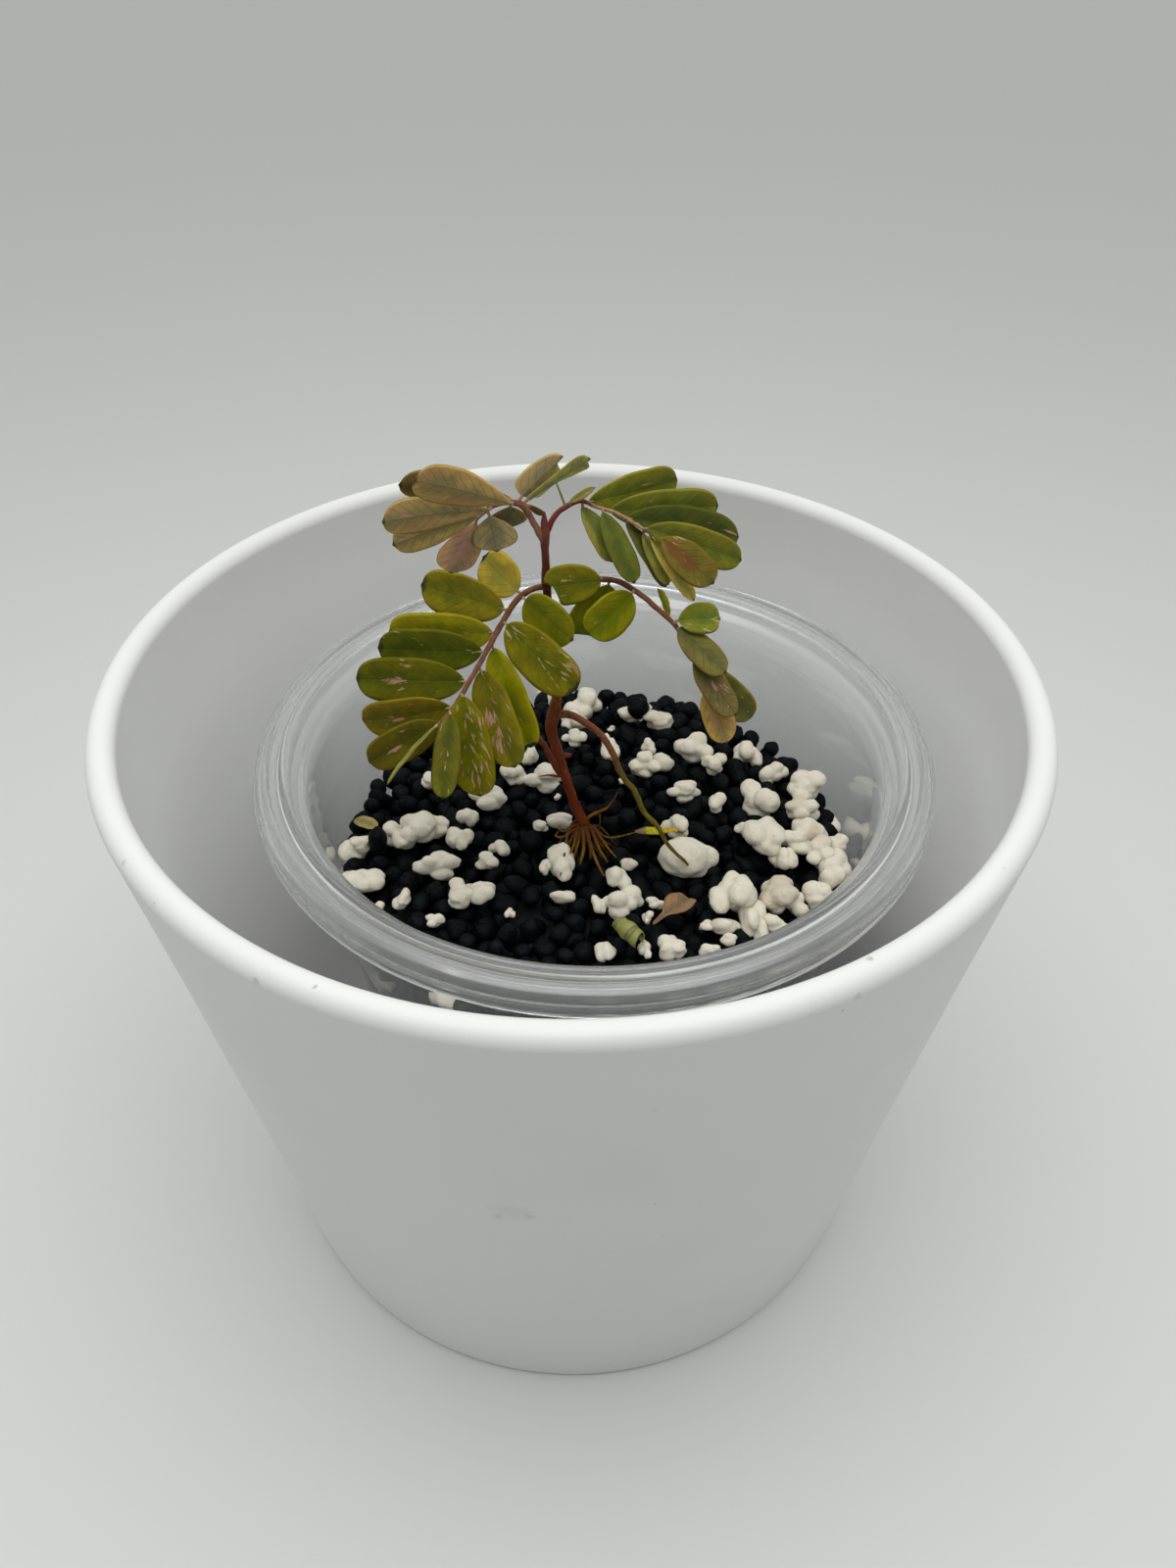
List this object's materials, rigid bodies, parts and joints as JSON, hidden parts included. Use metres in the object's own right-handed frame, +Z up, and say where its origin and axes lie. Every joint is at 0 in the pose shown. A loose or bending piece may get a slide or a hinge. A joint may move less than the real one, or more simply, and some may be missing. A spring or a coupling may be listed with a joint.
{
  "type": "potted chamber bitter plant",
  "caption": "Young pink chamber bitter with paired variegated leaflets, rooted in black pellets and perlite in a clear cup that stands in a white tapered pot.",
  "frame": {"origin": "centre of the pot's flat base, at the bottom of the whole object", "axes": "+Z up along the pot's axis; the plant's best side faces -Y; +X is to the right when it is seen from there"},
  "size_m": [0.15, 0.15, 0.1584],
  "materials": {
    "white_plastic": "matte",
    "clear_plastic": "clear, slightly milky, glossy",
    "pellet_substrate": "dull black grains with white perlite",
    "red_stem": "satin",
    "olive_branch": "satin",
    "amber_root": "satin",
    "stalk": "satin",
    "leaf_lower_left": "satin, cream and pink flecks",
    "leaf_lower_right": "satin",
    "leaf_upper_left": "satin, brown-green underside",
    "leaf_upper_right": "satin",
    "brown_scrap": "dry",
    "green_scrap": "dry",
    "yellow_scrap": "moist",
    "olive_scrap": "dry"
  },
  "bodies": {
    "root": {"branchlet_lower_left": "stalk", "branchlet_lower_right": "stalk", "branchlet_upper_left": "stalk", "branchlet_upper_right": "stalk", "curled_green_leaf": "green_scrap", "fallen_brown_leaf": "brown_scrap", "hanging_branch": "olive_branch", "inner_cup": "clear_plastic", "leaflet_lower_left_01": "leaf_lower_left", "leaflet_lower_left_02": "leaf_lower_left", "leaflet_lower_left_03": "leaf_lower_left", "leaflet_lower_left_04": "leaf_lower_left", "leaflet_lower_left_05": "leaf_lower_left", "leaflet_lower_left_06": "leaf_lower_left", "leaflet_lower_left_07": "leaf_lower_left", "leaflet_lower_left_08": "leaf_lower_left", "leaflet_lower_left_09": "leaf_lower_left", "leaflet_lower_left_10": "leaf_lower_left", "leaflet_lower_left_11": "leaf_lower_left", "leaflet_lower_left_12": "leaf_lower_left", "leaflet_lower_left_13": "leaf_lower_left", "leaflet_lower_left_14": "leaf_lower_left", "leaflet_lower_right_01": "leaf_lower_right", "leaflet_lower_right_02": "leaf_lower_right", "leaflet_lower_right_03": "leaf_lower_right", "leaflet_lower_right_04": "leaf_lower_right", "leaflet_lower_right_05": "leaf_lower_right", "leaflet_lower_right_06": "leaf_lower_right", "leaflet_lower_right_07": "leaf_lower_right", "leaflet_lower_right_08": "leaf_lower_right", "leaflet_lower_right_09": "leaf_lower_right", "leaflet_upper_left_01": "leaf_upper_left", "leaflet_upper_left_02": "leaf_upper_left", "leaflet_upper_left_03": "leaf_upper_left", "leaflet_upper_left_04": "leaf_upper_left", "leaflet_upper_left_05": "leaf_upper_left", "leaflet_upper_left_06": "leaf_upper_left", "leaflet_upper_left_07": "leaf_upper_left", "leaflet_upper_left_08": "leaf_upper_left", "leaflet_upper_left_09": "leaf_upper_left", "leaflet_upper_left_10": "leaf_upper_left", "leaflet_upper_right_01": "leaf_upper_right", "leaflet_upper_right_02": "leaf_upper_right", "leaflet_upper_right_03": "leaf_upper_right", "leaflet_upper_right_04": "leaf_upper_right", "leaflet_upper_right_05": "leaf_upper_right", "leaflet_upper_right_06": "leaf_upper_right", "leaflet_upper_right_07": "leaf_upper_right", "leaflet_upper_right_08": "leaf_upper_right", "leaflet_upper_right_09": "leaf_upper_right", "leaflet_upper_right_10": "leaf_upper_right", "leaflet_upper_right_11": "leaf_upper_right", "main_stem": "red_stem", "olive_scrap": "olive_scrap", "outer_pot": "white_plastic", "rear_branch_stub": "red_stem", "root_tuft": "amber_root", "substrate": "pellet_substrate", "yellow_scrap": "yellow_scrap"}
  },
  "joints": []
}
